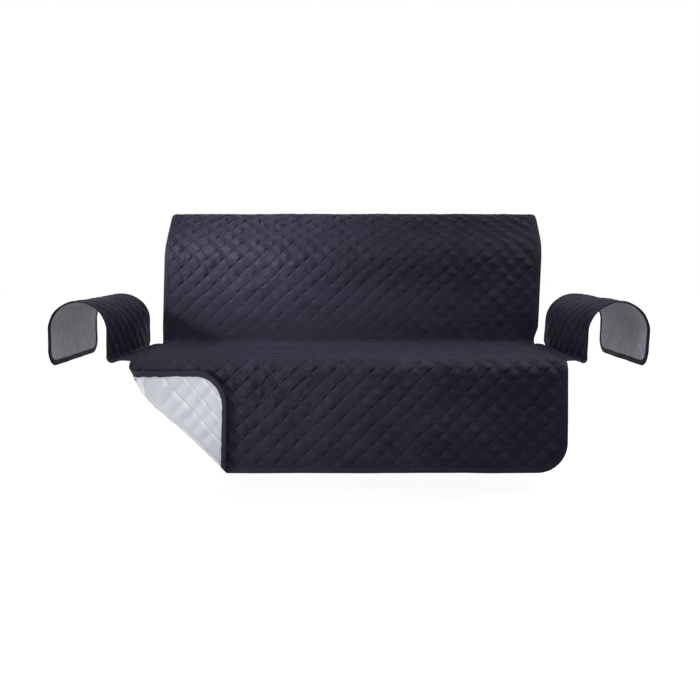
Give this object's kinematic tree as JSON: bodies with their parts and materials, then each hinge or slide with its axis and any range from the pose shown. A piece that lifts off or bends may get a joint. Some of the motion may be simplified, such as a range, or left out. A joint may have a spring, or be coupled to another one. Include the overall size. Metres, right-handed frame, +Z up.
{
  "type": "sofa slipcover",
  "caption": "Quilted sofa cover in its draped form: a long panel over front, seat and back, an arm flap at each side, bound edges and one corner turned up.",
  "frame": {"origin": "under the middle of the top of the back, where the sofa's back holds the cover up", "axes": "+Z up, -Y towards the front of the sofa, +X to the right as seen from the front"},
  "size_m": [2.0174, 0.8803, 0.88],
  "materials": {
    "navy_quilting": "soft brushed microfibre, quilted",
    "navy_binding": "folded woven tape",
    "pale_reverse": "matt pale reverse"
  },
  "bodies": {
    "root": {"main_panel": "navy_quilting", "main_lining": "pale_reverse", "arm_flap_left": "navy_quilting", "arm_flap_right": "navy_quilting", "front_binding": "navy_binding", "back_binding": "navy_binding", "arm_binding_left": "navy_binding", "arm_binding_right": "navy_binding"}
  },
  "joints": []
}
